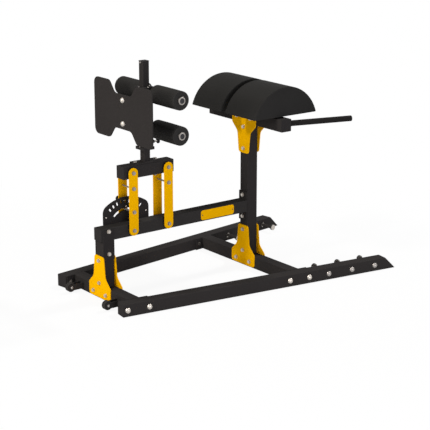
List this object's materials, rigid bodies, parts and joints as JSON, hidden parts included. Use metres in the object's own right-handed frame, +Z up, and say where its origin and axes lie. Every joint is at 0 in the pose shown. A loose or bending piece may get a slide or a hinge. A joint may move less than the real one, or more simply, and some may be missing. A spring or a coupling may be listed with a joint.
{
  "type": "glute ham developer",
  "caption": "Strength bench: splayed steel base, half-round thigh pads with grab handles, and a footplate with foam rollers that swings on links and slides on a post.",
  "frame": {"origin": "on the floor, at the middle of the machine's length and width", "axes": "+Z up; +X along the machine from the footplate towards the handles; +Y to the left of somebody who looks along +X"},
  "size_m": [1.8964, 1.2258, 1.3645],
  "materials": {
    "frame_black": "fine textured powder coat, satin",
    "accent_yellow": "smooth yellow powder coat, satin",
    "fastener": "bright zinc plate",
    "black_plastic": "moulded, matt",
    "bushing": "sintered bronze",
    "pad_vinyl": "grained vinyl, satin",
    "pad_board": "plywood",
    "roller_foam": "closed cell foam, matt",
    "wheel_plastic": "hard plastic, matt"
  },
  "bodies": {
    "base": {"near_rail": "frame_black", "far_rail": "frame_black", "tube_end_caps": "black_plastic", "rear_cross_tube": "frame_black", "front_cross_tube": "frame_black", "flange_plates": "frame_black", "rail_bolts": "fastener", "rear_upright": "frame_black", "main_upright": "frame_black", "rear_foot_gussets": "accent_yellow", "main_foot_gussets": "accent_yellow", "main_top_gussets": "accent_yellow", "frame_bolts": "fastener", "lower_beam": "frame_black", "beam_side_plates": "frame_black", "badge_plate": "accent_yellow", "sector_plate": "frame_black", "small_screws": "fastener", "beam_bushes": "bushing", "pad_crossbeam": "frame_black", "pad_mount_plates": "frame_black", "pad_boards": "pad_board", "near_pad": "pad_vinyl", "far_pad": "pad_vinyl", "near_handle": "frame_black", "far_handle": "frame_black", "band_pegs": "frame_black", "band_peg_discs": "fastener", "wheel_brackets": "frame_black", "wheel_axles": "fastener"},
    "near_wheel_body": {"near_wheel": "wheel_plastic"},
    "far_wheel_body": {"far_wheel": "wheel_plastic"},
    "rear_links": {"rear_near_link": "accent_yellow", "rear_far_link": "accent_yellow", "rear_link_bolts": "fastener", "rear_spacers": "frame_black", "link_pin_housing": "fastener"},
    "link_pull_pin": {"link_pin": "black_plastic"},
    "front_links": {"front_near_link": "accent_yellow", "front_far_link": "accent_yellow", "front_link_bolts": "fastener", "front_spacers": "frame_black"},
    "post_base": {"pivot_block": "frame_black", "post_caps": "black_plastic", "block_bushes": "bushing", "post": "frame_black", "post_base_plate": "frame_black", "post_bolts": "fastener"},
    "carriage": {"sleeve": "frame_black", "slide_collars": "black_plastic", "roller_axles": "fastener", "footplate_arm": "frame_black", "footplate": "frame_black", "carriage_bolts": "fastener", "carriage_pin_housing": "fastener"},
    "carriage_pull_pin": {"carriage_pin": "black_plastic"},
    "upper_near_foam": {"upper_near_roller": "roller_foam"},
    "upper_far_foam": {"upper_far_roller": "roller_foam"},
    "lower_near_foam": {"lower_near_roller": "roller_foam"},
    "lower_far_foam": {"lower_far_roller": "roller_foam"}
  },
  "joints": [
    {"name": "link_swing", "type": "hinge", "parent": "base", "child": "rear_links", "pos_m": [-0.6328, 0, 0.3895], "axis": [0, 1, 0], "range_deg": [-41.2, 41.2]},
    {"name": "front_link_swing", "type": "hinge", "parent": "base", "child": "front_links", "pos_m": [-0.3865, 0, 0.3895], "axis": [0, 1, 0], "range_deg": [-41.2, 41.2]},
    {"name": "post_level", "type": "hinge", "parent": "rear_links", "child": "post_base", "pos_m": [-0.6328, 0, 0.7325], "axis": [0, 1, 0], "range_deg": [-41.2, 41.2]},
    {"name": "carriage_slide", "type": "slide", "parent": "post_base", "child": "carriage", "axis": [0, 0, 1], "range_m": [-0.05, 0.125]},
    {"name": "near_wheel_spin", "type": "hinge", "parent": "base", "child": "near_wheel_body", "pos_m": [-0.9212, -0.198, 0.034], "axis": [0, 1, 0], "continuous": true},
    {"name": "far_wheel_spin", "type": "hinge", "parent": "base", "child": "far_wheel_body", "pos_m": [-0.9212, 0.198, 0.034], "axis": [0, 1, 0], "continuous": true},
    {"name": "upper_near_roll", "type": "hinge", "parent": "carriage", "child": "upper_near_foam", "pos_m": [-0.46365, -0.1745, 1.172], "axis": [0, 1, 0], "continuous": true},
    {"name": "upper_far_roll", "type": "hinge", "parent": "carriage", "child": "upper_far_foam", "pos_m": [-0.46365, 0.1745, 1.172], "axis": [0, 1, 0], "continuous": true},
    {"name": "lower_near_roll", "type": "hinge", "parent": "carriage", "child": "lower_near_foam", "pos_m": [-0.46365, -0.1745, 0.9695], "axis": [0, 1, 0], "continuous": true},
    {"name": "lower_far_roll", "type": "hinge", "parent": "carriage", "child": "lower_far_foam", "pos_m": [-0.46365, 0.1745, 0.9695], "axis": [0, 1, 0], "continuous": true},
    {"name": "link_pin_slide", "type": "slide", "parent": "rear_links", "child": "link_pull_pin", "axis": [0, -1, 0], "range_m": [0, 0.0085]},
    {"name": "carriage_pin_slide", "type": "slide", "parent": "carriage", "child": "carriage_pull_pin", "axis": [-1, 0, 0], "range_m": [0, 0.0085]}
  ],
  "couplings": [
    {"joint": "front_link_swing", "follows": "link_swing", "ratio": 1},
    {"joint": "post_level", "follows": "link_swing", "ratio": -1}
  ]
}
